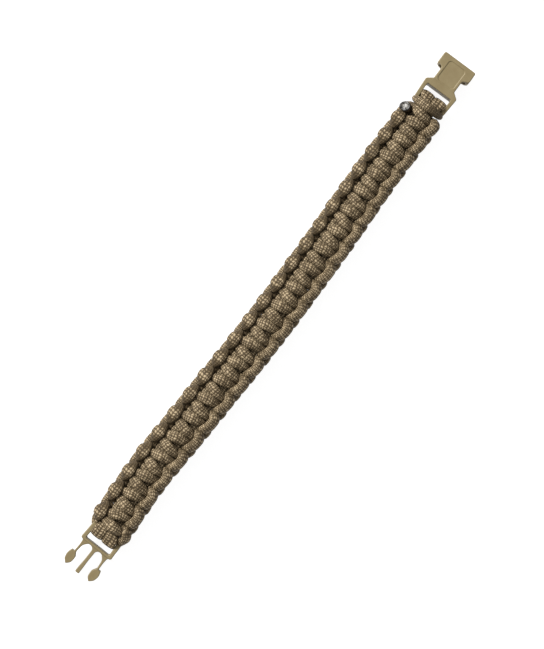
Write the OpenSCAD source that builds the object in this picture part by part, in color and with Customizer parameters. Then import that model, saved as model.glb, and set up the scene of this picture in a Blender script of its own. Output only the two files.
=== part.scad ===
// Paracord bracelet, laid out flat and unclasped.
// X runs along the strap from the prongs to the socket, Y is across it and Z is up.
// The origin is on the surface that it lies on, under the middle of its box.

/* [Cord] */
// Width of the braided cord where it crosses the strap
cord_w = 4.0; // [3.4:0.1:4.4]
// Thickness of the cord where it crosses the strap
cord_t = 3.1; // [2.6:0.1:3.4]
// Width of the cord in the loops along both edges
loop_w = 3.5; // [3.0:0.1:4.0]
// Width of each core strand inside the strap
core_w = 3.2; // [2.6:0.1:3.4]
// Thickness of each core strand inside the strap
core_t = 2.6; // [2.2:0.1:2.8]
// Width of the cord where it is wrapped flat round a buckle's bar
wrap_w = 4.9; // [4.2:0.1:5.1]
// Thickness of the cord where it is wrapped flat round a buckle's bar
wrap_t = 2.3; // [2.0:0.1:2.5]
// Space left between cords that press on each other
cord_gap = 0.26; // [0.24:0.01:0.35]

/* [Strap] */
// Whole knots from one end of the strap to the other
knots = 22; // [18:1:22]
// Mean distance from one knot to the next
pitch = 8.97; // [8.4:0.05:9.6]
// How much looser the knots are in the first half of the strap
looseness = 0.05; // [0:0.01:0.08]
// Distance from the strap's middle line to the middle of an edge loop
edge_y = 7.65; // [7.2:0.05:8.2]
// Distance from the middle line to each core strand
core_y = 1.85; // [1.75:0.05:2.1]
// How far the strap drifts to each side as it lies
bow = 1.05; // [0:0.05:2]

/* [Buckle bars] */
// Diameter of the bar that the cord is wrapped round
bar_d = 2.0; // [1.8:0.1:2.2]
// Space between a bar and the cord round it
bar_gap = 0.12; // [0.06:0.02:0.2]
// Distance from the middle line to each wrap of cord on a bar
wrap_y = 2.65; // [2.6:0.05:2.75]
// From the prong half's bar to the first knot
first_knot = 2.6; // [2.4:0.1:3.2]
// From the last knot to the socket half's bar
last_knot = 7.6; // [7.4:0.1:8.4]

/* [Prong half] */
// Width of the frame at its cross bar
frame_w = 14.4; // [14:0.1:15]
// Width of the frame at its end bar
frame_end_w = 13.6; // [13.3:0.1:14]
// Width of the side rails
rail_w = 1.45; // [1.2:0.05:1.6]
// Thickness of the frame
frame_t = 4.6; // [4:0.1:5]
// Thickness of the rails beside the end bar
rail_end_t = 2.4; // [2.2:0.1:3]
// From the end bar's middle to the near side of the cross bar
slot_l = 5.3; // [5:0.1:6]
// Thickness of the cross bar along the strap
cross_l = 1.65; // [1.4:0.05:2]
// Length of the prongs in front of the cross bar
prong_l = 11.4; // [10.8:0.1:11.8]
// Thickness of the prongs
prong_t = 3.2; // [2.6:0.1:3.4]
// Width of the middle guide
guide_w = 1.9; // [1.5:0.1:2.3]
// Width of a side arm
arm_w = 1.1; // [0.9:0.05:1.4]
// Length of a leaf shaped head
head_l = 5.8; // [5.2:0.1:6.2]
// Width of a leaf shaped head
head_w = 3.3; // [2.9:0.1:3.5]
// Distance between the outer sides of the two heads
heads_w = 14.8; // [14.4:0.1:15.2]
// Turn of the prong half as it lies
prong_turn = -2.0; // [-3:0.5:3]

/* [Socket half] */
// Width of the socket's frame at its cross bar
yoke_w = 14.2; // [13.8:0.1:15]
// Width of the socket's frame at its end bar
yoke_end_w = 13.6; // [13.3:0.1:14]
// Width of the socket's side rails
yoke_rail_w = 1.6; // [1.4:0.05:1.7]
// From the socket's end bar to its cross bar
yoke_slot_l = 5.0; // [4.8:0.1:5.8]
// Thickness of the socket's cross bar along the strap
yoke_cross_l = 1.9; // [1.6:0.1:2.4]
// Width of the waist that leaves the heads open to the fingers
waist_w = 9.2; // [8.6:0.1:9.8]
// Length of the waist, with the slopes at both of its ends
waist_l = 6.9; // [6.4:0.1:7.6]
// Length of the block round the mouth
mouth_l = 5.8; // [5.2:0.1:6.4]
// Width of the block round the mouth
mouth_w = 14.4; // [14.2:0.1:15.6]
// Thickness of the socket
socket_t = 6.4; // [6.2:0.1:7]
// Height of the hollow that takes the prongs
hollow_t = 3.9; // [3.7:0.1:4.1]
// Thickness of the mouth's side walls
mouth_wall = 1.0; // [0.8:0.1:1.2]
// Depth of the sunk line round the panel
panel_groove = 0.2; // [0.1:0.05:0.3]
// Turn of the socket half as it lies
socket_turn = 0.5; // [-3:0.5:3]

/* [Hidden] */
$fn = 48;

SAND = [0.63, 0.55, 0.41];
COYOTE = [0.52, 0.43, 0.31];
UMBER = [0.42, 0.34, 0.24];

// The strap's own lengths, and the places of its ends along X
weave_l = knots * pitch;
prong_reach = slot_l + cross_l + prong_l;
socket_reach = yoke_slot_l + yoke_cross_l + waist_l + mouth_l;
total_l = prong_reach + first_knot + weave_l + last_knot + socket_reach;
prong_bar_x = prong_reach - total_l / 2;
first_x = prong_bar_x + first_knot;
socket_bar_x = total_l / 2 - socket_reach;

// Heights above and below the strap's middle plane: crossings stand off the cores, edge loops lie
// a little lower
cross_space = 0.45;
loop_drop = 0.4;
cross_z = core_t / 2 + cord_t / 2 + cross_space;
loop_z = cross_z - loop_drop;
wrap_r = bar_d / 2 + bar_gap + wrap_t / 2;
middle_z = cross_z + cord_t / 2;

// The side drift turns back at these places, as shares of half the length and of the drift
// [place along the strap, drift]
DRIFT = [
    [-1.00, -0.35],
    [-0.64, 1.00],
    [-0.18, -0.85],
    [0.15, -1.00],
    [0.70, 0.85],
    [1.00, 0.45],
];

function ease(t) = 0.5 - 0.5 * cos(180 * min(1, max(0, t)));
function drift_row(s, i = 0) = i >= len(DRIFT) - 2 || s < DRIFT[i + 1][0] ? i : drift_row(s, i + 1);
function drift(x) =
    let (s = 2 * x / total_l, i = drift_row(s), a = DRIFT[i], b = DRIFT[i + 1])
    bow * (a[1] + (b[1] - a[1]) * ease((s - a[0]) / (b[0] - a[0])));

// Place along X of knot number n, closer together towards the socket
function knot_x(n) =
    let (u = n / knots)
    first_x + weave_l * (u + looseness * u * (1 - u) - looseness * u * (1 - u) * (1 - 2 * u));

// Core strands: flat inside the strap, and rising over the bar at both ends
core_ramp = 6;
function near_bar(x) = ease(1 - min(x - prong_bar_x, socket_bar_x - x) / core_ramp);
function core_point(x, side) = [
    x,
    side * (core_y + (wrap_y - core_y) * near_bar(x)) + drift(x),
    wrap_r * near_bar(x)
];

// Working strand over one knot: it crosses on top and loops back under each edge. The sway and
// the hook carry a loop along the strap, and the third squares its turn at the edge.
loop_sway = 1.85;
loop_hook = 0.25;
edge_round = -0.75;
// How much more height than width counts where a ring finds its outward side
out_slope = 1.6;
function strand_point(n, flip) =
    let (
        x = knot_x(n) + loop_sway * sin(720 * n) + loop_hook * sin(1440 * n),
        y = (edge_y - edge_round) * cos(360 * n) + edge_round * cos(1080 * n),
        z = (cross_z - loop_z) / 2 - (cross_z + loop_z) / 2 * cos(720 * n),
        // On top, the crossings at both ends lie over the cores where those rise to the bars
        beside = max(near_bar(x - cord_w / 2), near_bar(x + cord_w / 2)),
        lift = flip > 0 ? wrap_r * beside * max(0, -cos(720 * n)) : 0
    )
    [x, flip * y + drift(x), flip * z + lift];

function unit(v) = v / norm(v);

// How far along v from c a cord may swell before it meets its rivals, at most 1
function squeeze(c, v, rivals) = min(concat([1], [
    for (r = rivals)
        let (d = r - c, l = norm(d), along = v * d / l)
        if (along > 0.05) (l - cord_gap) / 2 / along
]));

// A flattened ring about the first of the centres, with its flats above and below, squeezed so
// that it stays on its own side of every rival, also as seen from the other centres
SIDES = 6;
function ring(centres, across, up, w, t, rivals) = [
    for (j = [0 : SIDES - 1])
        let (
            a = j * 360 / SIDES,
            v = across * w / 2 * cos(a) + up * t / 2 * sin(a) / cos(180 / SIDES)
        )
        centres[0] + v * min([for (c = centres) squeeze(c, v, rivals)])
];

// Skin of a tube through rings of the same number of points
module tube(rings) {
    n = len(rings[0]);
    last = len(rings) - 1;
    polyhedron(
        points = [for (r = rings) each r],
        faces = concat(
            [[for (j = [0 : n - 1]) j]],
            [
                for (i = [0 : last - 1], j = [0 : n - 1])
                    let (k = (j + 1) % n)
                    each [
                        [i * n + j, (i + 1) * n + j, (i + 1) * n + k],
                        [i * n + j, (i + 1) * n + k, i * n + k]
                    ]
            ],
            [[for (j = [n - 1 : -1 : 0]) last * n + j]]
        ),
        convexity = 10
    );
}

// Rings along a path of rows [place, width, thickness, knot number], each squeezed by its rivals
function path_rings(rows, flip) = [
    for (i = [0 : len(rows) - 1])
        let (
            c = rows[i][0],
            n = rows[i][3],
            along = unit(rows[min(i + 1, len(rows) - 1)][0] - rows[max(i - 1, 0)][0]),
            out = [0, c[1] - drift(c[0]), out_slope * c[2]],
            up = unit(out - along * (out * along)),
            rivals = concat(
                [for (m = [-0.6 : 0.03 : 0.6]) strand_point(n + m, -flip)],
                [for (m = [0.2 : 0.05 : 0.8], s = [-1, 1]) strand_point(n + s * m, flip)],
                [for (s = [-1, 1], dx = [-1, 0, 1]) core_point(c[0] + dx, s)]
            ),
            centres = [for (k = [0, -1, 1]) (c + rows[max(0, min(i + k, len(rows) - 1))][0]) / 2]
        )
        ring(centres, cross(up, along), up, rows[i][1], rows[i][2], rivals)
];

// Rows of a working strand over its whole knots
STEPS = 20;
LAST_STEP = 7;
function knot_rows(flip) = [
    for (i = [flip > 0 ? 0 : 1 : knots * STEPS + LAST_STEP])
        let (n = i / STEPS)
        [strand_point(n, flip), cord_w + (loop_w - cord_w) * pow(cos(360 * n), 2), cord_t, n]
];

// The back strand comes up beside the prong half's bar, and its cut end stands up at the far edge.
// Rows are shares of the knot spacing, of the edge distance, of the height of a loop and of the
// width of a loop.
// [along, across, up, width]
RISE = [
    [-0.05, 0.82, -1.02, 0.52],
    [-0.04, 1.02, -0.76, 0.55],
    [-0.03, 1.16, 0.00, 0.58],
    [-0.01, 1.11, 0.66, 0.78],
];
CUT_END = [
    [0.18, 1.02, 0.62, 0.90],
    [0.14, 1.02, 1.35, 0.95],
];
function end_rows(table, x, side, n) = [
    for (r = table)
        [
            [x + r[0] * pitch, side * r[1] * edge_y + drift(x), r[2] * loop_z],
            r[3] * loop_w,
            cord_t,
            n
        ]
];

// Half of the core cord, as rows [place, width, thickness, way across]: from under the prong half's
// bar, round it, along the strap, round the socket half's bar and out to the loop that holds it.
// That loop is pressed into the wraps by this much.
hitch_press = 0.5;
hitch_z = wrap_r + wrap_t / 2 + cord_t / 2 - hitch_press;
side_in = bar_d / 2 + bar_gap + cord_w / 2;
// Share of its width that the cord loses on its way under a bar
wrap_narrow = 0.35;

// Tails from the prong half's wraps to where the front and the back strand begin, as shares of the
// first knot's distance, of the edge distance, of the wrap's radius and of the wrap's width
// [along, across, up, width]
FRONT_TAIL = [
    [0.62, 0.85, -1.16, 0.42],
    [0.42, 0.65, -1.14, 0.50],
    [0.22, 0.46, -1.04, 0.58],
];
BACK_TAIL = [
    [0.54, 0.62, -1.14, 0.50],
    [0.26, 0.44, -1.04, 0.58],
];

// Loop on the socket half's bar, as shares of the distance from the bar to the loop's side, of
// the yoke's half width, of the loop's height and of the cord's width
// [along, across, up, width]
HITCH = [
    [-0.30, 0.45, -0.54, 0.70],
    [-0.56, 0.64, -0.54, 0.60],
    [-0.74, 0.84, -0.30, 0.48],
    [-0.76, 0.91, 0.12, 0.48],
    [-0.70, 0.82, 0.56, 0.66],
    [-0.60, 0.60, 0.88, 0.85],
    [-0.55, 0.32, 1.00, 0.95],
    [-0.55, 0.00, 1.02, 0.98],
];
CORE_RINGS = 14;

function core_row(x, side) =
    let (k = near_bar(x))
    [
        core_point(x, side),
        core_w + (wrap_w - core_w) * k,
        core_t + (wrap_t - core_t) * k,
        [0, side, 0]
    ];
function wrap_row(x, a, side) = [
    [
        x + (x > 0 ? 1 : -1) * wrap_r * sin(a) - side * wrap_y * sin(x > 0 ? socket_turn : prong_turn),
        side * wrap_y + drift(x),
        wrap_r * cos(a)
    ],
    wrap_w * (1 - wrap_narrow * max(0, a - 90) / 90),
    wrap_t,
    [0, side, 0]
];
function half_core(side) = concat(
    [
        for (r = side > 0 ? FRONT_TAIL : BACK_TAIL)
            [
                [
                    prong_bar_x + r[0] * first_knot,
                    side * r[1] * edge_y + drift(prong_bar_x),
                    r[2] * wrap_r
                ],
                r[3] * wrap_w,
                wrap_t,
                [0, side, 0]
            ]
    ],
    [for (a = [180 : -20 : 0]) wrap_row(prong_bar_x, a, side)],
    [for (k = [1 : 3]) core_row(prong_bar_x + k / 4 * core_ramp, side)],
    [
        for (k = [0 : CORE_RINGS - 1])
            core_row(
                prong_bar_x + core_ramp
                    + k / (CORE_RINGS - 1) * (socket_bar_x - prong_bar_x - 2 * core_ramp),
                side
            )
    ],
    [for (k = [3 : -1 : 1]) core_row(socket_bar_x - k / 4 * core_ramp, side)],
    [for (a = [0 : 20 : 180]) wrap_row(socket_bar_x, a, side)],
    [
        for (r = HITCH)
            [
                [
                    socket_bar_x + r[0] * side_in,
                    side * r[1] * yoke_end_w / 2 + drift(socket_bar_x),
                    r[2] * hitch_z
                ],
                r[3] * cord_w,
                wrap_t,
                [1, 0, 0]
            ]
    ]
);
function backwards(rows) = [for (i = [len(rows) - 2 : -1 : 0]) rows[i]];

module core_cord() {
    rows = concat(half_core(1), backwards(half_core(-1)));
    last = len(rows) - 1;
    color(UMBER)
        translate([0, 0, middle_z])
            tube([
                for (i = [0 : last])
                    let (
                        along = unit(rows[min(i + 1, last)][0] - rows[max(i - 1, 0)][0]),
                        across = unit(rows[i][3] - along * (rows[i][3] * along))
                    )
                    ring([rows[i][0]], across, cross(along, across), rows[i][1], rows[i][2], [])
            ]);
}

// Strand that crosses on top of the cores and loops round each edge underneath
module front_strand() {
    color(COYOTE)
        translate([0, 0, middle_z])
            tube(path_rings(knot_rows(1), 1));
}

// Strand that crosses under the cores and loops round each edge on top
module back_strand() {
    color(COYOTE)
        translate([0, 0, middle_z])
            tube(path_rings(
                concat(
                    end_rows(RISE, first_x, -1, 0),
                    knot_rows(-1),
                    end_rows(CUT_END, knot_x(knots), 1, knots + 0.4)
                ),
                -1
            ));
}

// Outline of a rectangle with round corners
module round_rect(size, r) {
    square([size[0], size[1] - 2 * r], center = true);
    square([size[0] - 2 * r, size[1]], center = true);
    for (x = [-1, 1], y = [-1, 1])
        translate([x * (size[0] / 2 - r), y * (size[1] / 2 - r)])
            circle(r);
}

// Corner of a slot, and how far joined shapes reach into each other
slot_corner = 0.5;
sunk = 0.2;

// Frame that the strap is tied to, from its end bar at u = 0 to its cross bar, as one solid.
// The rails thin down to the end bar, which is round.
module end_frame(w, end_w, rail, slot, cross_bar, t, end_t) {
    r = bar_d / 2;
    difference() {
        intersection() {
            linear_extrude(t, center = true)
                polygon([
                    [-r, -end_w / 2],
                    [slot + cross_bar, -w / 2],
                    [slot + cross_bar, w / 2],
                    [-r, end_w / 2]
                ]);
            rotate([90, 0, 0])
                linear_extrude(w + 2, center = true)
                    polygon([
                        [-r, -end_t / 2],
                        [r, -end_t / 2],
                        [slot, -t / 2],
                        [slot + cross_bar, -t / 2],
                        [slot + cross_bar, t / 2],
                        [slot, t / 2],
                        [r, end_t / 2],
                        [-r, end_t / 2]
                    ]);
        }
        // Slot from behind the end bar to the cross bar
        translate([slot / 2 - r, 0, 0])
            linear_extrude(t + 1, center = true)
                round_rect([slot + bar_d, end_w - 2 * rail], slot_corner);
    }
    rotate([90, 0, 0])
        cylinder(d = bar_d, h = end_w - 2 * rail + 2 * sunk, center = true);
}

// Leaf shaped head: two arcs that meet in a point, cut square behind for its barb. Its tip is this
// share of its length ahead of its widest place.
head_point = 0.56;
module head() {
    half = head_l * head_point;
    r = (half * half + head_w * head_w / 4) / head_w;
    intersection() {
        translate([0, r - head_w / 2])
            circle(r);
        translate([0, head_w / 2 - r])
            circle(r);
        translate([half - head_l, -head_w])
            square([head_l, 2 * head_w]);
    }
}

// Side arm from its root to inside its head, as shares of the arm's width off the head's middle
// [share of the arm's length, inner side, outer side]
ARM = [
    [0.00, -1.85, -0.35],
    [0.22, -1.55, -0.27],
    [0.58, -0.95, -0.05],
    [1.00, -0.85, 0.15],
];
prong_fillet = 1.2;

module prong_shape() {
    root = slot_l + cross_l;
    tip = root + prong_l;
    head_y = (heads_w - head_w) / 2;
    arm_l = prong_l - head_l + 3 * sunk;
    corner_y = guide_w / 2 + prong_fillet;
    // Middle guide with a round tip
    translate([root - sunk, -guide_w / 2])
        square([prong_l + sunk - guide_w / 2, guide_w]);
    translate([tip - guide_w / 2, 0])
        circle(d = guide_w);
    for (side = [-1, 1]) {
        // Thin arm, wider at its root, and its head
        polygon([
            [root - sunk, side * (head_y + ARM[0][1] * arm_w)],
            for (r = ARM) [root + r[0] * arm_l, side * (head_y + r[1] * arm_w)],
            for (i = [len(ARM) - 1 : -1 : 0])
                [root + ARM[i][0] * arm_l, side * (head_y + ARM[i][2] * arm_w)],
            [root - sunk, side * (head_y + ARM[0][2] * arm_w)]
        ]);
        translate([tip - head_l * head_point, side * head_y])
            head();
        // Fillet at the guide's root
        difference() {
            translate([root - sunk, min(0, side * corner_y)])
                square([prong_fillet + sunk, corner_y]);
            translate([root + prong_fillet, side * corner_y])
                circle(prong_fillet);
        }
    }
}

module prong_buckle() {
    color(SAND)
        translate([prong_bar_x, drift(prong_bar_x), middle_z])
            rotate([0, 0, prong_turn])
                mirror([1, 0, 0]) {
                    end_frame(frame_w, frame_end_w, rail_w, slot_l, cross_l, frame_t, rail_end_t);
                    linear_extrude(prong_t, center = true)
                        prong_shape();
                }
}

// Socket's own details: the slope from its cross bar to the waist, the round shoulders of the
// block, and the sunk line round the panel
waist_slope = 1.5;
shoulder_r = 2;
panel_edge = 0.7;
panel_line = 0.35;
panel_corner = 1;
block_u = yoke_slot_l + yoke_cross_l + waist_l;

// Outline of the socket from its cross bar to the mouth
module socket_outline() {
    start = yoke_slot_l + yoke_cross_l;
    block = block_u;
    polygon([
        [start - sunk, -yoke_w / 2],
        [start, -yoke_w / 2],
        [start + waist_slope, -waist_w / 2],
        [block, -waist_w / 2],
        [block, waist_w / 2],
        [start + waist_slope, waist_w / 2],
        [start, yoke_w / 2],
        [start - sunk, yoke_w / 2]
    ]);
    // Block round the mouth, with round shoulders
    translate([block + shoulder_r, -mouth_w / 2])
        square([mouth_l - shoulder_r, mouth_w]);
    translate([block - sunk, shoulder_r - mouth_w / 2])
        square([mouth_l, mouth_w - 2 * shoulder_r]);
    for (side = [-1, 1])
        translate([block + shoulder_r, side * (mouth_w / 2 - shoulder_r)])
            circle(shoulder_r);
}

module socket_buckle() {
    start = yoke_slot_l + yoke_cross_l + waist_slope;
    // The panel begins a quarter of the slope's length after it and ends some edges from the mouth
    panel = [socket_reach - start - waist_slope / 4 - 2.5 * panel_edge, waist_w - 2 * panel_edge];
    panel_x = start + waist_slope / 4 + panel[0] / 2;
    color(SAND)
        translate([socket_bar_x, drift(socket_bar_x), middle_z])
            rotate([0, 0, socket_turn]) {
                end_frame(yoke_w, yoke_end_w, yoke_rail_w, yoke_slot_l, yoke_cross_l, frame_t,
                    rail_end_t);
                difference() {
                    linear_extrude(socket_t, center = true)
                        socket_outline();
                    // Hollow for the prongs, open at the waist's sides
                    translate([start, -mouth_w, -hollow_t / 2])
                        cube([block_u - start + mouth_wall / 2, 2 * mouth_w, hollow_t]);
                    translate([start, mouth_wall - mouth_w / 2, -hollow_t / 2])
                        cube([waist_l + mouth_l, mouth_w - 2 * mouth_wall, hollow_t]);
                    // Sunk line round a plain panel
                    translate([panel_x, 0, socket_t / 2 - panel_groove])
                        linear_extrude(1)
                            difference() {
                                round_rect(panel, panel_corner);
                                round_rect(
                                    [panel[0] - 2 * panel_line, panel[1] - 2 * panel_line],
                                    panel_corner - panel_line
                                );
                            }
                }
            }
}

prong_buckle();
socket_buckle();
core_cord();
front_strand();
back_strand();
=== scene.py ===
import math

import bmesh
import bpy
import numpy as np
from mathutils import Matrix, Vector


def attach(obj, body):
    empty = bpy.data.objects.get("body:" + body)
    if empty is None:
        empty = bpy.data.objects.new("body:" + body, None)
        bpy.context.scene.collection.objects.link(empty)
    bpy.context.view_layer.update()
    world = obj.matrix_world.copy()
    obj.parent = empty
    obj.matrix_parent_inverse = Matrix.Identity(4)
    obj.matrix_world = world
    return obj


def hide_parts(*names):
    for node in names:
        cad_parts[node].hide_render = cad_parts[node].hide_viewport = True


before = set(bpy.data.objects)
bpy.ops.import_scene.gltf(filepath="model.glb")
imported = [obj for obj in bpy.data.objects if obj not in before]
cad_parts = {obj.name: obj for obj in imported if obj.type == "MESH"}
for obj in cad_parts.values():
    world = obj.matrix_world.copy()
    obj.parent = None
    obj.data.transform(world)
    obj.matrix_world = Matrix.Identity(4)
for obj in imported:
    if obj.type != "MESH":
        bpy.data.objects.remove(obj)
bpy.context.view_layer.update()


# Camera: a product photograph taken from straight above the middle of the strap. The strap runs
# from the lower left to the upper right of the picture, so the camera is rolled by its angle.
photo_height = 649
mm_per_pixel = 0.385
strap_angle = math.radians(52.89)
camera_height = 0.60
picture_middle = (-0.00152, -0.00260, 0.005)

camera = bpy.data.objects.new("camera", bpy.data.cameras.new("camera"))
bpy.context.scene.collection.objects.link(camera)
bpy.context.scene.camera = camera
camera.location = (picture_middle[0], picture_middle[1], picture_middle[2] + camera_height)
camera.rotation_euler = (0, 0, -strap_angle)
camera.data.sensor_width = 36
half_picture = mm_per_pixel * photo_height / 2000  # half the picture's height in metres
camera.data.lens = camera.data.sensor_width / 2 * camera_height / half_picture
camera.data.clip_start, camera.data.clip_end = 0.01, 20


# Studio: a plain white light table, one large soft light over the picture's upper left, which is
# the strap's +Y side, a weak one opposite it, and an even white surround.
def linear(code):
    """Blender's linear colour for an sRGB hex colour."""
    parts = [int(code[i : i + 2], 16) / 255 for i in (1, 3, 5)]
    return [p / 12.92 if p <= 0.04045 else ((p + 0.055) / 1.055) ** 2.4 for p in parts] + [1.0]


def add_node(material, kind, settings=None, **links):
    """Adds a node, sets its properties and gives its inputs values or links. Returns the node."""
    made = material.node_tree.nodes.new(kind)
    for name, value in (settings or {}).items():
        setattr(made, name, value)
    for name, value in links.items():
        socket = made.inputs[int(name[1:]) if name[1:].isdigit() else name.replace("_", " ")]
        if isinstance(value, bpy.types.Node):
            value = value.outputs[0]
        if isinstance(value, bpy.types.NodeSocket):
            material.node_tree.links.new(value, socket)
        else:
            socket.default_value = value
    return made


def new_material(name):
    """An empty node material. Returns it and its Principled shader."""
    material = bpy.data.materials.new(name)
    material.use_nodes = True
    return material, material.node_tree.nodes["Principled BSDF"]


tabletop_width = 4.0
tabletop = bpy.data.meshes.new("tabletop")
bm = bmesh.new()
bmesh.ops.create_grid(bm, x_segments=1, y_segments=1, size=tabletop_width / 2)
bm.to_mesh(tabletop)
bm.free()
tabletop = bpy.data.objects.new("tabletop", tabletop)
bpy.context.scene.collection.objects.link(tabletop)
# Backlit opal acrylic: a light table's even white ground, which takes up nearly all cast shadow
opal, shader = new_material("backlit opal acrylic")
shader.inputs["Base Color"].default_value = linear("#8c8c8c")
shader.inputs["Emission Color"].default_value = (1, 1, 1, 1)
shader.inputs["Emission Strength"].default_value = 0.88
shader.inputs["Roughness"].default_value = 0.9
shader.inputs["Specular IOR Level"].default_value = 0.1
tabletop.data.materials.append(opal)

# [name, place in metres, width in metres, power in watts]
studio_lights = [
    ("key light", (0.24, 1.88, 1.42), 0.80, 99.0),
    ("fill light", (0.35, -0.70, 0.90), 0.90, 0.4),
]
for name, place, width, power in studio_lights:
    light = bpy.data.objects.new(name, bpy.data.lights.new(name, "AREA"))
    bpy.context.scene.collection.objects.link(light)
    light.data.size = width
    light.data.energy = power
    light.location = place
    light.rotation_euler = (-light.location).to_track_quat("-Z", "Y").to_euler()

world = bpy.data.worlds.new("white studio")
bpy.context.scene.world = world
world.use_nodes = True
world.node_tree.nodes["Background"].inputs["Color"].default_value = (1, 1, 1, 1)
world.node_tree.nodes["Background"].inputs["Strength"].default_value = 0.54
bpy.context.scene.view_settings.view_transform = "Standard"


# Core cord: the doubled middle of the one cord that the whole bracelet is tied from. It is wrapped
# over both buckle bars and runs flat along the inside of the strap. Sizes are in millimetres. The
# places of the bars and the even places of the knots are the solid model's own.
mm = 0.001
prong_bar, socket_bar = -104.4, 103.15
first_knot_x, weave_length, knots, pitch = -101.8, 197.34, 22, 8.97
looseness = 0.05
core_side, core_width, core_thickness = 2.1, 4.6, 2.8
wrap_side, wrap_radius, wrap_thickness, core_ramp = 2.65, 2.27, 2.4, 6.0
cross_height, middle_height = 3.3, 4.85


def eased(t):
    """A smooth step from 0 to 1 as t goes from 0 to 1."""
    return 0.5 - 0.5 * np.cos(np.pi * np.clip(t, 0, 1))


def smooth_rows(rows, step=0.45):
    """Rows at even steps along a smooth curve through the given ones, and their place along it."""
    rows = np.array(rows, float)
    ends = [2 * rows[0] - rows[1], *rows, 2 * rows[-1] - rows[-2]]
    fine = []
    for a, b, c, d in zip(ends, ends[1:], ends[2:], ends[3:]):
        t = np.linspace(0, 1, 12, endpoint=False)[:, None]
        fine.append(
            0.5 * (2 * b + (c - a) * t + (2 * a - 5 * b + 4 * c - d) * t**2
                   + (3 * b - 3 * c + d - a) * t**3)
        )
    fine = np.vstack([*fine, rows[-1:]])
    along = np.r_[0, np.cumsum(np.linalg.norm(np.diff(fine[:, :3], axis=0), axis=1))]
    even = np.linspace(0, along[-1], max(2, round(along[-1] / step) + 1))
    return np.stack([np.interp(even, along, fine[:, k]) for k in range(fine.shape[1])], -1), even


# How the strap drifts sideways as it lies: [place along the strap, sideways]
drift_rows, _ = smooth_rows(
    [(-123, -0.4), (-105, -0.3), (-93, 0.35), (-74, 0.97), (-56, 0.25), (-37, -0.35), (-19, -1.0),
     (0, -1.3), (18, -1.12), (37, -0.82), (55, -0.1), (74, 0.38), (92, 0.3), (104, 0.1),
     (123, 0.1)],
    step=2,
)


def drift(x):
    """Sideways place of the strap's middle line at x."""
    return np.interp(x, drift_rows[:, 0], drift_rows[:, 1])


def near_bar(x):
    """1 at a buckle's bar, 0 from one ramp's length away from it."""
    return eased(1 - np.minimum(x - prong_bar, socket_bar - x) / core_ramp)


# How far the knots were tied off their even places: [place along the strap, along]
uneven_places = [-98, -80, -62, -53, -44, -35, -26, -17, 0, 30, 60, 73, 85, 95]
uneven_shifts = [0.1, 0.0, 0.25, 0.6, 0.85, 0.7, 0.35, 0.0, -0.1, -0.2, -0.05, -0.3, -0.6, -0.4]


def knot_place(n):
    """Place along the strap of knot number n: closer together towards the socket."""
    u = n / knots
    slack = 2 * looseness * u * u * (1 - u)
    place = first_knot_x + weave_length * (u + slack)
    return place + np.interp(place, uneven_places, uneven_shifts)


def wrap_rows(bar_x, side, angles):
    """Rows of the flattened cord round a buckle's bar, from over it (0) to under it (180)."""
    out, bar_turn = (1, 0.5) if bar_x > 0 else (-1, -2.0)
    lean = side * wrap_side * math.sin(math.radians(bar_turn))
    across = side * wrap_side - 0.15 + float(drift(bar_x))
    width = 6.25 - 0.25 * side
    rows = []
    for angle in angles:
        a = math.radians(angle)
        # The wraps get narrower on their way under the bar
        narrow = 1 - 0.35 * max(0, angle - 90) / 90
        rows.append([
            bar_x + out * wrap_radius * math.sin(a) - lean, across, wrap_radius * math.cos(a),
            width * narrow, wrap_thickness, 0, side, 0,
        ])
    return rows


def core_rows(side):
    """Rows of one core strand from under the prong half's bar to its loop on the socket's bar."""
    rows = wrap_rows(prong_bar, side, range(180, -1, -20))
    ramp = np.arange(1.5, core_ramp, 1.5)
    between = np.linspace(prong_bar + core_ramp, socket_bar - core_ramp, 60)
    for x in [*prong_bar + ramp, *between, *socket_bar - ramp[::-1]]:
        k = float(near_bar(x))
        rows.append([
            x, side * (core_side + (wrap_side - core_side) * k) + float(drift(x)),
            wrap_radius * k, core_width + 1.3 * k, core_thickness - 0.5 * k, 0, side, 0,
        ])
    rows += wrap_rows(socket_bar, side, range(0, 181, 20))
    # The loop that holds the core, as [along, across, up, width]
    for along, across, up, width in [
        (-0.93, 3.06, -2.40, 2.8), (-1.85, 4.30, -2.40, 2.3), (-2.10, 5.40, -1.34, 1.9),
        (-2.00, 5.85, 0.20, 2.0), (-2.10, 5.30, 1.80, 2.7), (-2.35, 3.80, 3.30, 3.2),
        (-2.50, 2.00, 4.40, 3.5), (-2.55, 0.0, 4.85, 3.6),
    ]:
        rows.append([socket_bar + along, side * across + float(drift(socket_bar)), up,
                     width, 2.6, 1, 0, 0])
    return rows


core_line = smooth_rows(core_rows(1) + core_rows(-1)[-2::-1])


# Working strands: the two ends of the same cord, tied round the core in 22 cobra knots. The front
# strand crosses over the core in every half knot and the back strand under it, and at the edges
# each passes through the other's loop.

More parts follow.
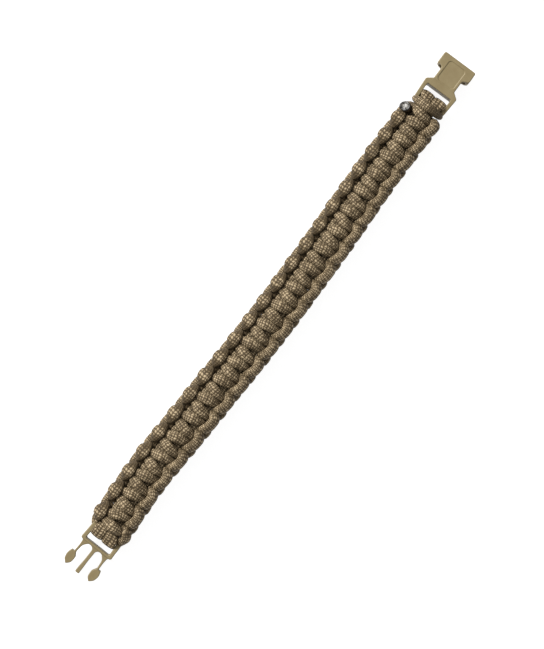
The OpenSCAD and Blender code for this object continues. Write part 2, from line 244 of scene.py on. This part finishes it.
# Half a knot of the front strand, from the middle of its loop under the +Y edge, over the cores, to
# the middle of its loop under the -Y edge: [along, across, up, width, thickness]. The other half
# is its mirror image along the strap, and the back strand is the front one turned upside down.
half_knot = [
    (0.00, 7.05, -3.15, 4.3, 3.3),
    (1.30, 6.95, -3.10, 4.3, 3.3),
    (2.40, 6.40, -2.80, 3.9, 3.4),
    (3.10, 5.65, -2.10, 3.4, 3.7),
    (3.42, 5.10, -1.10, 3.1, 4.0),
    (3.45, 4.75, 0.00, 2.9, 4.0),
    (3.32, 4.00, 0.90, 2.8, 3.8),
    (3.05, 3.05, 1.95, 3.3, 3.5),
    (2.65, 1.80, 2.85, 4.0, 3.3),
    (2.15, 0.20, 3.45, 4.7, 3.3),
    (1.80, -1.50, 2.95, 4.4, 3.4),
    (1.60, -2.80, 2.15, 3.7, 3.5),
    (1.45, -3.85, 1.50, 3.1, 3.8),
    (1.38, -4.60, 1.05, 2.9, 4.0),
    (1.40, -5.30, 0.60, 2.9, 4.1),
    (1.55, -5.85, 0.10, 2.9, 3.9),
    (1.90, -6.20, -0.55, 3.4, 3.3),
    (2.35, -6.45, -1.50, 3.9, 2.8),
    (2.90, -6.55, -2.55, 4.4, 2.6),
    (3.60, -6.72, -3.25, 5.0, 2.8),
    (4.485, -6.80, -3.45, 5.3, 3.0),
]
uneven, unevenness = np.random.default_rng(5), 0.13


def strand_rows(flip, first, last):
    """Rows of a working strand from knot first to knot last, in halves of a knot."""
    rows = []
    for half in range(2 * first, 2 * last):
        n, back = divmod(half, 2)
        start = float(knot_place(n + back))
        stretch = float(knot_place(n + 1) - knot_place(n)) / pitch
        table = half_knot[:-1] if not back else half_knot[:0:-1]
        pull_along, pull_across, pull_wide = uneven.normal(0, unevenness, 3)
        for k, (along, across, up, width, thick) in enumerate(table):
            loose = math.sin(math.pi * k / len(table))
            x = start + (-1 if back else 1) * along * stretch + pull_along * loose
            # The loops along the -Y edge lean towards the socket
            x += 0.42 * max(0, -flip * across - 5.5)
            # The underside is a little flatter, because the strap lies on it
            z = flip * up * (1 if flip * up > 0 else 0.95)
            if flip > 0 and up > 0:
                beside = float(np.maximum(near_bar(x - 2), near_bar(x + 2)))
                z += wrap_radius * beside * up / cross_height
            # Each limb rolls outwards on its way down, so that its inner side faces down
            roll = 1.3 * abs(z) * float(eased((0.8 - across) / 2.5)) * (up > 0)
            # The arches' ends turn down like a ribbon
            roll -= 6.0 * abs(z) * float(eased((2.9 - abs(z)) / 1.3)) * (across < -6.1)
            # The arches lie flatter than the limbs, and the round loops are tilted more
            flat = 4.0 + 5.0 * float(eased((-across - 5.0) / 1.5)) - 1.7 * (across > 5)
            out = np.array([-roll if back else roll, flip * across, flat * z])
            y = flip * (across + pull_across * loose)
            # The first loops of the +Y edge are pulled towards the prong half's bar
            at_start = float(eased((-90 - x) / 5))
            x -= float(eased((y + 2) / 6)) * at_start
            # The other loops of that edge stand a little towards the same end
            x -= 0.1 * float(eased((y - 4.5) / 2) * eased((94 - x) / 5)) * (1 - at_start)
            # The strap is a little narrower at its ends
            y *= 1 - 0.03 * float(eased((-66 - x) / 14) + eased((x - 50) / 25))
            # The last loop of the -Y edge is drawn in
            x -= 0.7 * float(eased((-3 - y) / 3) * eased((x - 95) / 4))
            y += float(drift(x))
            rows.append([x, y, z, width * (1 + 0.3 * pull_wide), thick,
                         *out / np.linalg.norm(out)])
    return rows


# The back strand rises beside the prong half's bar: [along, sideways, up, width] from the bar
first_drift = float(drift(first_knot_x))
rise = [[prong_bar + a, -b + first_drift, c, d, 3.4, 0, -b, 4 * c] for a, b, c, d in
        [(1.2, 3.0, -2.9, 3.4), (0.7, 4.6, -2.5, 3.4), (0.5, 5.6, -1.3, 3.3), (0.8, 6.1, -0.1, 3.3),
         (1.5, 6.5, 0.8, 3.4), (2.5, 6.8, 1.5, 3.6), (3.7, 6.95, 2.1, 3.9)]]
# The front strand comes from under the bar, over the rail's end, to the back of the +Y edge:
# [along, sideways, up] from the bar
tail = [[prong_bar + a, b + first_drift, c, 3.3, 3.3, 0, b, 4 * c] for a, b, c in
        [(1.2, 2.7, -2.9), (0.9, 4.0, -2.5), (0.9, 5.0, -1.3), (1.3, 5.6, -0.6), (2.0, 6.2, -1.0),
         (3.0, 6.6, -2.0)]]
# The back strand's end is cut and stands up beside the last knot: [along, sideways, up] from it
last_x, last_drift = float(knot_place(knots)), float(drift(98))
cut_end = [[last_x + a, b + last_drift, c, 3.6, 3.7, 0, b, 3 * c] for a, b, c in
           [(1.2, 6.0, 1.0), (0.9, 6.7, 2.5), (0.75, 6.95, 3.5)]]
front_line = smooth_rows(tail + strand_rows(1, 0, knots + 1)[2:-22])
back_line = smooth_rows(rise + strand_rows(-1, 0, knots + 1)[2:-24] + cut_end)

cord_lines = {"core": core_line, "front": front_line, "back": back_line}
cord_area, most_swell = 11.6, 1.06
# Pressed cords are a little squarer than an ellipse
squareness, around = 0.78, 28
# Two skins stay press_gap apart. A stretch of cord within press_reach presses, unless it is on the
# same cord within same_stretch, or nearer than too_near.
press_gap, press_reach, same_stretch, too_near = 0.05, 7, 7.5, 0.8
barely_facing, no_limit = 0.02, 9
floor_gap = 0.02


def skin_rings(name, hint_is_up):
    """Rings of a cord's skin: flattened where cords press on each other and swollen elsewhere."""
    rows, lengths = cord_lines[name]
    centre = rows[:, :3]
    along = np.gradient(centre, axis=0)
    along /= np.linalg.norm(along, axis=1)[:, None]
    hint = rows[:, 5:8]
    hint = hint - along * (hint * along).sum(1)[:, None]
    hint /= np.linalg.norm(hint, axis=1)[:, None]
    if hint_is_up:
        up, across = hint, np.cross(hint, along)
    else:
        across, up = hint, np.cross(along, hint)
    a = np.arange(around) / around * 2 * np.pi
    wide, high = (np.sign(k) * np.abs(k) ** squareness for k in (np.cos(a), np.sin(a)))
    ring = (across[:, None] * (rows[:, 3, None] / 2 * wide)[..., None]
            + up[:, None] * (rows[:, 4, None] / 2 * high)[..., None])
    reach = np.ones((len(rows), around))
    for i in range(len(rows)):
        near = []
        for other, (other_rows, at) in cord_lines.items():
            points = other_rows[:, :3]
            close = np.abs(points[:, 0] - centre[i, 0]) < press_reach
            if other == name:
                close &= np.abs(at - lengths[i]) > same_stretch
            near.append(points[close])
        away = np.vstack(near) - centre[i]
        far = np.linalg.norm(away, axis=1)
        keep = (far < press_reach) & (far > too_near)
        away, far = away[keep], far[keep]
        if not len(far):
            continue
        facing = ring[i] @ (away / far[:, None]).T
        half_way = (far - press_gap) / 2 / np.maximum(facing, barely_facing)
        limit = np.where(facing > barely_facing, half_way, no_limit).min(1)
        swell = 1.0
        for _ in range(4):
            reach[i] = np.minimum(limit, swell)
            skin = ring[i] * reach[i][:, None]
            area = 0.5 * np.linalg.norm(np.cross(skin, np.roll(skin, -1, axis=0)).sum(0))
            if hint_is_up:
                swell = min(most_swell, swell * math.sqrt(cord_area / area))
    for _ in range(3):
        reach = (np.roll(reach, 1, 1) + 2 * reach + np.roll(reach, -1, 1)) / 4
        reach[1:-1] = (reach[:-2] + 2 * reach[1:-1] + reach[2:]) / 4
    return centre[:, None] + ring * reach[..., None], lengths


def cord_piece(name, key, hint_is_up, material, slot, *nodes):
    """A cord as a closed tube from a grid that is rolled round its rings."""
    rings, lengths = skin_rings(key, hint_is_up)
    rings = (rings + (0, 0, middle_height)) * mm
    # The soft cord lies flat on the surface under it
    rings[..., 2] = np.maximum(rings[..., 2], floor_gap * mm)
    count = len(rings)
    centre = cord_lines[key][0][:, :3]
    along = np.gradient(centre, axis=0)
    steep = eased((np.abs(along[:, 2]) / np.linalg.norm(along, axis=1) - 0.46) / 0.4)
    x, y, z = centre[:, 0], centre[:, 1] - drift(centre[:, 0]), centre[:, 2]
    inside = eased((1.9 - np.abs(z)) / 0.9)
    if key == "core":
        # Painted shade on the hitch's -Y half, which turns away from the light on its way down to
        # the rail
        hitch_x, hitch_half_width = 100.2, 1.7
        painted_shade_mask = eased((0.3 - y) / 1.5) * (z > 1) * (np.abs(x - hitch_x) < hitch_half_width)
    else:
        # A working strand gets painted shade where it dives steeply or runs between the strap's two
        # faces, and only
        #         # a little on the round loops, which lie where y and z have opposite signs
        arch_leg = eased((y * z + 4) / 2)
        painted_shade_mask = np.maximum(steep * (0.7 + 0.3 * eased(np.abs(y) - 5.2)), inside)
        painted_shade_mask = arch_leg * painted_shade_mask + (1 - arch_leg) * 0.25 * steep
    bm = bmesh.new()
    uv = bm.loops.layers.uv.new("cord")
    # The painted shade goes to the sheath's material as a vertex attribute
    painted_shade = bm.verts.layers.float.new("painted_shade")
    bmesh.ops.create_grid(bm, x_segments=count - 1, y_segments=around, size=1, calc_uvs=True)
    for vertex in bm.verts:
        i = round((vertex.co.x + 1) / 2 * (count - 1))
        j = round((vertex.co.y + 1) / 2 * around) % around
        vertex.co = rings[i, j]
        vertex[painted_shade] = painted_shade_mask[i]
    for face in bm.faces:
        face.smooth = True
        for loop in face.loops:
            u, w = loop[uv].uv
            loop[uv].uv = (lengths[round(u * (count - 1))], w)
    open_edges = [v for v in bm.verts if v.is_boundary]
    bmesh.ops.remove_doubles(bm, verts=open_edges, dist=1e-8)
    bmesh.ops.holes_fill(bm, edges=[e for e in bm.edges if e.is_boundary], sides=0)
    bmesh.ops.recalc_face_normals(bm, faces=bm.faces)
    mesh = bpy.data.meshes.new(name)
    bm.to_mesh(mesh)
    bm.free()
    piece = bpy.data.objects.new(name, mesh)
    bpy.context.scene.collection.objects.link(piece)
    mesh.materials.append(material)
    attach(piece, "root")
    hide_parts(*nodes)


# Braided nylon sheath, 32 carriers, coyote brown: columns of slanted yarn floats. Their colour
# follows their
# # relief, with painted shade in the hollows between them and a painted highlight on each float's
# top, besides a bump of the same relief.
def braided_nylon(name, shaded_hollow, body, lit_float_top):
    """The sheath's material, from its hollows' painted shade colour, its yarn's colour and its
    floats' painted highlight colour.
    """
    material, shader = new_material(name)
    place = add_node(material, "ShaderNodeUVMap", {"uv_map": "cord"})
    split = add_node(material, "ShaderNodeSeparateXYZ", Vector=place)

    def step(operation, a, b=0.0):
        return add_node(material, "ShaderNodeMath", {"operation": operation}, _0=a, _1=b)

    # Real floats lie about 0.65 mm apart, finer than the picture shows, so they are drawn coarser
    columns, float_spacing = 16, 0.80
    column = step("MULTIPLY", split.outputs[1], columns)
    inside = step("FRACT", column)
    number = step("FLOOR", column)
    odd = step("MODULO", number, 2.0)
    lean = step("SUBTRACT", step("MULTIPLY", odd, 2.0), 1.0)
    rows = step("DIVIDE", split.outputs[0], float_spacing)
    slant = step("MULTIPLY", step("MULTIPLY", lean, step("SUBTRACT", inside, 0.5)), 0.35)
    phase = step("ADD", rows, slant)
    ridge = step("SINE", step("MULTIPLY", step("FRACT", phase), math.pi))
    belly = step("SINE", step("MULTIPLY", inside, math.pi))
    relief = step("MULTIPLY", step("POWER", ridge, 1.1), step("POWER", belly, 0.9))
    cell = add_node(material, "ShaderNodeCombineXYZ", X=step("FLOOR", phase), Y=number)
    chance = add_node(material, "ShaderNodeTexWhiteNoise", {"noise_dimensions": "2D"}, Vector=cell)
    # Each float is a little lighter or darker than the next
    varied = step("ADD", relief, step("MULTIPLY", step("SUBTRACT", chance, 0.5), 0.6))
    # Painted shade: the floats are drawn darker, towards the hollows' colour, where a cord dives
    # steeply or lies between others
    painted_shade = add_node(material, "ShaderNodeAttribute", {"attribute_name": "painted_shade"})
    painted_shade_strength = step("MULTIPLY", painted_shade.outputs["Fac"], 0.58)
    varied = step("MULTIPLY", varied, step("SUBTRACT", 1.0, painted_shade_strength))
    # Painted shade in the hollows and a painted highlight on the floats' tops, from the relief
    # height
    colours = add_node(material, "ShaderNodeValToRGB", Fac=varied)
    ramp = colours.color_ramp
    ramp.elements[0].position, ramp.elements[0].color = 0.12, linear(shaded_hollow)
    ramp.elements[1].position, ramp.elements[1].color = 0.95, linear(lit_float_top)
    middle = ramp.elements.new(0.55)
    middle.color = linear(body)
    material.node_tree.links.new(colours.outputs[0], shader.inputs["Base Color"])
    bump = add_node(material, "ShaderNodeBump", Height=relief, Strength=0.8, Distance=0.22 * mm)
    material.node_tree.links.new(bump.outputs[0], shader.inputs["Normal"])
    shader.inputs["Roughness"].default_value = 0.52
    shader.inputs["Specular IOR Level"].default_value = 0.1
    return material


# Colours: painted shade in the hollows, the yarn's own brown, painted highlight on the floats' tops
sheath = braided_nylon("braided coyote nylon sheath", "#453a2a", "#6b5c45", "#a79578")

cord_piece("core_cord_wraps", "core", False, sheath, "core", "core_cord")
cord_piece("front_working_strand", "front", True, sheath, "cord", "front_strand")
cord_piece("back_working_strand", "back", True, sheath, "cord", "back_strand")


# Melted ends of the working strands: one stands up beside the last knot, the other is tucked
# against the back. The flame has drawn the sheath into a black, glossy lip round the white inner
# yarns, which are fused and mottled.
tip_profile = [(0.0, 0.02), (0.4, 0.05), (0.8, -0.02), (1.1, 0.0), (1.35, 0.14), (1.6, 0.26),
               (1.85, 0.22), (2.05, 0.0), (2.08, -0.3), (1.95, -0.7), (1.8, -1.0)]
lip_radius, char_spread = 2.05, 4.2
lump_height, ripple_height = 0.07, 0.05


def melted_end(name, rows, beyond):
    """A melted cap on the end of a strand, along the strand's last direction."""
    bm = bmesh.new()
    uv = bm.loops.layers.uv.new("cord")
    verts = [bm.verts.new((r, 0, z)) for r, z in tip_profile]
    line = [bm.edges.new(pair) for pair in zip(verts, verts[1:])]
    bmesh.ops.spin(bm, geom=verts + line, cent=(0, 0, 0), axis=(0, 0, 1), angle=2 * math.pi,
                   steps=40, use_merge=True)
    bmesh.ops.remove_doubles(bm, verts=bm.verts, dist=1e-5)
    bmesh.ops.holes_fill(bm, edges=[e for e in bm.edges if e.is_boundary], sides=0)
    bmesh.ops.recalc_face_normals(bm, faces=bm.faces)
    for face in bm.faces:
        face.smooth = True
        for loop in face.loops:
            x, y, z = loop.vert.co
            char = 0.6 * ((x + 0.25) ** 2 + (y - 0.1) ** 2) / char_spread
            loop[uv].uv = (char + (0.3 if z < -0.2 else 0), 0.5)
    for vertex in bm.verts:
        x, y, z = vertex.co
        turn, outward = math.atan2(y, x), math.hypot(x, y) / lip_radius
        lumps = math.sin(3 * turn + 0.7) + 0.6 * math.sin(5 * turn + 2.1) + 0.5 * math.sin(9 * turn)
        ripples = math.sin(4.1 * x + 1) * math.sin(3.7 * y) + math.sin(7 * x - 5 * y)
        vertex.co.z += lump_height * lumps * min(1, 2 * outward)
        vertex.co.z += ripple_height * ripples
        vertex.co.x, vertex.co.y = x * (0.92 + 0.02 * lumps), y * (1.06 + 0.02 * lumps)
    heading = Vector(rows[-1, :3] - rows[-3, :3]).normalized()
    place = Vector(rows[-1, :3]) + heading * beyond + Vector((0, 0, middle_height))
    bmesh.ops.transform(bm, verts=bm.verts, matrix=Matrix.Translation(place * mm)
                        @ heading.to_track_quat("Z", "Y").to_matrix().to_4x4()
                        @ Matrix.Scale(mm, 4))
    mesh = bpy.data.meshes.new(name)
    bm.to_mesh(mesh)
    bm.free()
    mesh.materials.append(melted)
    piece = bpy.data.objects.new(name, mesh)
    bpy.context.scene.collection.objects.link(piece)
    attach(piece, "root")


# Melted nylon: black at the lip and grey white where the inner yarns fused, half glossy all over
melted, shader = new_material("melted nylon cord end")
reach = add_node(melted, "ShaderNodeSeparateXYZ",
                 Vector=add_node(melted, "ShaderNodeUVMap", {"uv_map": "cord"})).outputs[0]
place = add_node(melted, "ShaderNodeTexCoord").outputs["Object"]
blots = add_node(melted, "ShaderNodeTexNoise", Vector=place, Scale=1500, Detail=2, Roughness=0.6)
ragged = add_node(melted, "ShaderNodeMath", {"operation": "MULTIPLY_ADD"}, _0=blots, _1=0.9,
                  _2=reach)
char = add_node(melted, "ShaderNodeValToRGB", Fac=ragged)
char.color_ramp.elements[0].position, char.color_ramp.elements[0].color = 0.34, linear("#b4b2ab")
char.color_ramp.elements[1].position, char.color_ramp.elements[1].color = 0.86, linear("#1a1714")
for at, code in ((0.50, "#7d7a75"), (0.66, "#4a4640")):
    char.color_ramp.elements.new(at).color = linear(code)
melted.node_tree.links.new(char.outputs[0], shader.inputs["Base Color"])
bump = add_node(melted, "ShaderNodeBump", Height=blots, Strength=0.5, Distance=0.2 * mm)
melted.node_tree.links.new(bump.outputs[0], shader.inputs["Normal"])
shader.inputs["Roughness"].default_value = 0.4
melted_end("melted_end_beside_last_knot", back_line[0], 0.55)
melted_end("melted_end_on_the_back", front_line[0], 0.45)


# Moulded acetal, tan: matt, with the fine grain of a spark-eroded mould, which softens the
# highlights, and the mould's parting line half way up the sides.
tan_acetal, shader = new_material("moulded tan acetal")
place = add_node(tan_acetal, "ShaderNodeTexCoord").outputs["Object"]
grain = add_node(tan_acetal, "ShaderNodeTexNoise", Vector=place, Scale=3500, Detail=2,
                 Roughness=0.6)
cloud = add_node(tan_acetal, "ShaderNodeTexNoise", Vector=place, Scale=260, Detail=3)
tint = add_node(tan_acetal, "ShaderNodeValToRGB", Fac=cloud)
tint.color_ramp.elements[0].position, tint.color_ramp.elements[0].color = 0.3, linear("#746647")
tint.color_ramp.elements[1].position, tint.color_ramp.elements[1].color = 0.7, linear("#7c6f50")
tan_acetal.node_tree.links.new(tint.outputs[0], shader.inputs["Base Color"])
height = add_node(tan_acetal, "ShaderNodeSeparateXYZ", Vector=place).outputs[2]
from_line = add_node(tan_acetal, "ShaderNodeMath", {"operation": "COMPARE"}, _0=height,
                     _1=middle_height * mm, _2=0.06 * mm)
relief = add_node(tan_acetal, "ShaderNodeMath", {"operation": "ADD"}, _0=grain, _1=from_line)
bump = add_node(tan_acetal, "ShaderNodeBump", Height=relief, Strength=0.25, Distance=0.06 * mm)
tan_acetal.node_tree.links.new(bump.outputs[0], shader.inputs["Normal"])
shader.inputs["Roughness"].default_value = 0.5
shader.inputs["Specular IOR Level"].default_value = 0.35


# Buckle, prong half: injection moulded in one piece. A frame with two tapered rails, a round bar
# for the cord, and in front of its crossbar a middle guide and two springy arms with barbed heads.
# Outlines are in millimetres from the bar's middle: [outward, sideways, corner radius].
def rounded(corners, steps=5):
    """Points of a closed outline with its corners rounded."""
    points = []
    for a, b, c in zip(corners[-1:] + corners[:-1], corners, corners[1:] + corners[:1]):
        corner, radius = np.array(b[:2], float), b[2]
        if not radius:
            points.append(corner)
            continue
        back, ahead = np.array(a[:2]) - corner, np.array(c[:2]) - corner
        back, ahead = back / np.linalg.norm(back), ahead / np.linalg.norm(ahead)
        half = math.acos(back @ ahead) / 2
        middle = (back + ahead) / np.linalg.norm(back + ahead)
        centre = corner + middle * radius / math.sin(half)
        first = corner + back * radius / math.tan(half) - centre
        last = corner + ahead * radius / math.tan(half) - centre
        for k in range(steps + 1):
            spoke = first + (last - first) * k / steps
            points.append(centre + spoke / np.linalg.norm(spoke) * radius)
    return points


def mirrored(half):
    """A whole outline from its half on the + side."""
    return half + [(u, -v, r) for u, v, r in half[::-1]]


panel_wall, panel_depth = 0.34, 0.26
sharp_angle = 0.7
bar_radius, bar_length = 1.0, 12.6


def slab(whole, corners, low, high, radius, panel=None, bend=None, shape=None):
    """Adds a flat moulding with rounded edges to the mesh whole.

    A panel is sunk into its upper face. A shape changes its height, after a cut across it at bend.
    """
    bm = bmesh.new()
    edges = []
    for outline in [corners, panel] if panel else [corners]:
        verts = [bm.verts.new((u, v, high)) for u, v in rounded(outline)]
        edges += [bm.edges.new(pair) for pair in zip(verts, verts[1:] + verts[:1])]
    bmesh.ops.triangle_fill(bm, use_beauty=True, edges=edges)
    bmesh.ops.dissolve_limit(bm, angle_limit=0.02, verts=bm.verts, edges=bm.edges)
    sunk = []
    if panel:
        sunk = [bm.faces.new(verts)]
    solid = bmesh.ops.extrude_face_region(bm, geom=bm.faces[:], use_keep_orig=True)
    lower = [g for g in solid["geom"] if isinstance(g, bmesh.types.BMVert)]
    bmesh.ops.translate(bm, vec=(0, 0, low - high), verts=lower)
    bmesh.ops.recalc_face_normals(bm, faces=bm.faces)
    sharp = [e for e in bm.edges if e.calc_face_angle(0) > sharp_angle]
    if panel:
        walls = bmesh.ops.inset_individual(bm, faces=sunk, thickness=panel_wall,
                                           depth=-panel_depth)
        for edge in {e for wall in walls["faces"] for e in wall.edges}:
            edge.smooth = False
    bmesh.ops.bevel(bm, geom=sharp, offset=radius, offset_type="OFFSET", segments=3, profile=0.5,
                    affect="EDGES", material=-1)
    if shape:
        bmesh.ops.bisect_plane(bm, geom=bm.verts[:] + bm.edges[:] + bm.faces[:],
                               plane_co=(bend, 0, 0), plane_no=(1, 0, 0))
        for vertex in bm.verts:
            vertex.co.z = shape(vertex.co.x, vertex.co.z)
    part = bpy.data.meshes.new("part")
    bm.to_mesh(part)
    bm.free()
    whole.from_mesh(part)
    bpy.data.meshes.remove(part)


def rod(whole):
    """Adds the round bar that the cord is wrapped on."""
    bmesh.ops.create_cone(
        whole, cap_ends=True, segments=32, radius1=bar_radius, radius2=bar_radius,
        depth=bar_length, matrix=Matrix.Rotation(math.pi / 2, 4, "X"),
    )


def moulding(name, whole, bar_x, aside, direction, turn, node):
    """Places a moulded half on its bar, attaches it to the root body and hides the solid model's
    part.
    """
    bmesh.ops.transform(
        whole, verts=whole.verts,
        matrix=Matrix.Translation(
            (bar_x * mm, (float(drift(bar_x)) + aside) * mm, middle_height * mm))
        @ Matrix.Rotation(math.radians(turn), 4, "Z")
        @ Matrix.Diagonal((direction * mm, mm, mm, 1)),
    )
    bmesh.ops.recalc_face_normals(whole, faces=whole.faces)
    for face in whole.faces:
        face.smooth = True
    mesh = bpy.data.meshes.new(name)
    whole.to_mesh(mesh)
    whole.free()
    mesh.materials.append(tan_acetal)
    piece = bpy.data.objects.new(name, mesh)
    bpy.context.scene.collection.objects.link(piece)
    weighted = piece.modifiers.new("flat faces stay flat", "WEIGHTED_NORMAL")
    weighted.weight, weighted.keep_sharp = 80, True
    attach(piece, "root")
    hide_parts(node)


def rail_end(u, z):
    """Rails get thinner towards the bar."""
    return z * (0.55 + 0.45 * min(1, max(0, (u + 1) / 5)))


prong_half = bmesh.new()
slab(prong_half, mirrored([
    (6.75, 7.35, 0.9), (-1.0, 7.10, 0.5), (-1.0, 5.20, 0.4), (5.6, 5.65, 0.6),
]), -1.9, 1.9, 0.42, bend=4, shape=rail_end)
slab(prong_half, mirrored([
    (18.40, 0.92, 0.4), (12.5, 0.72, 5.0), (6.95, 0.78, 1.5), (6.95, 3.2, 1.3), (8.7, 4.75, 3.0),
    (12.5, 5.15, 1.8), (14.3, 3.95, 2.4), (16.9, 4.15, 2.0), (18.4, 5.65, 0.35), (16.9, 7.20, 1.8),
    (14.7, 7.75, 3.0), (12.5, 7.05, 0.0), (12.55, 5.98, 0.25), (9.4, 5.85, 5.0), (7.4, 5.98, 1.5),
    (6.1, 6.6, 0.0),
]), -1.35, 1.35, 0.3)
rod(prong_half)
moulding("prong_half_moulding", prong_half, prong_bar, -0.4, -1, -1.6, "prong_buckle")


# Buckle, socket half: injection moulded. Its frame runs over sloped shoulders into an upper and a
# lower shell, open at the narrow waist so that fingers reach the prongs' heads, and closed round
# the mouth. The upper shell has a shallow plain panel pressed into it.
def shell_slope(u, z):
    """The shells rise from the frame's height behind the waist."""
    down = 0.8 * min(1, max(0, (8.6 - u) / 2.2))
    return z - down if z > 0 else z + down


def thin_rail(u, z):
    """Rails get thinner towards the bar, from the full height of the crossbar."""
    return z * (0.47 + 0.53 * min(1, max(0, (u + 1) / 6)))


socket_half = bmesh.new()
slab(socket_half, mirrored([
    (8.3, 4.95, 0.0), (6.6, 7.30, 1.1), (-1.0, 6.85, 0.5), (-1.0, 5.20, 0.4), (5.30, 5.60, 0.5),
]), -2.9, 2.9, 0.35, bend=5, shape=thin_rail)
slab(socket_half, mirrored([(9.2, 4.5, 0.0), (7.9, 4.5, 0.0), (6.6, 6.2, 0.0), (5.7, 6.2, 0.0)]),
     -2.3, 2.3, 0.2)
slab(socket_half, mirrored([
    (19.1, 7.25, 0.7), (14.6, 7.30, 1.0), (13.4, 4.85, 0.7), (8.30, 4.85, 0.9), (6.9, 6.75, 0.3),
]), 1.95, 3.2, 0.4, panel=mirrored([(17.6, 3.95, 1.4), (8.4, 3.95, 1.4)]), bend=8.3,
     shape=shell_slope)
slab(socket_half, mirrored([
    (19.1, 7.25, 0.7), (14.1, 7.35, 1.5), (13.6, 4.85, 0.3), (8.30, 4.85, 0.9), (6.9, 6.75, 0.3),
]), -3.2, -1.95, 0.4, bend=8.3, shape=shell_slope)
for side in (1, -1):
    slab(socket_half, [(19.0, side * 7.2, 0.3), (14.0, side * 7.2, 0.6),
                       (14.0, side * 6.1, 0.2), (19.0, side * 6.1, 0.2)], -2.1, 2.1, 0.1)
rod(socket_half)
moulding("socket_half_moulding", socket_half, socket_bar, 0.0, 1, 0.5, "socket_buckle")
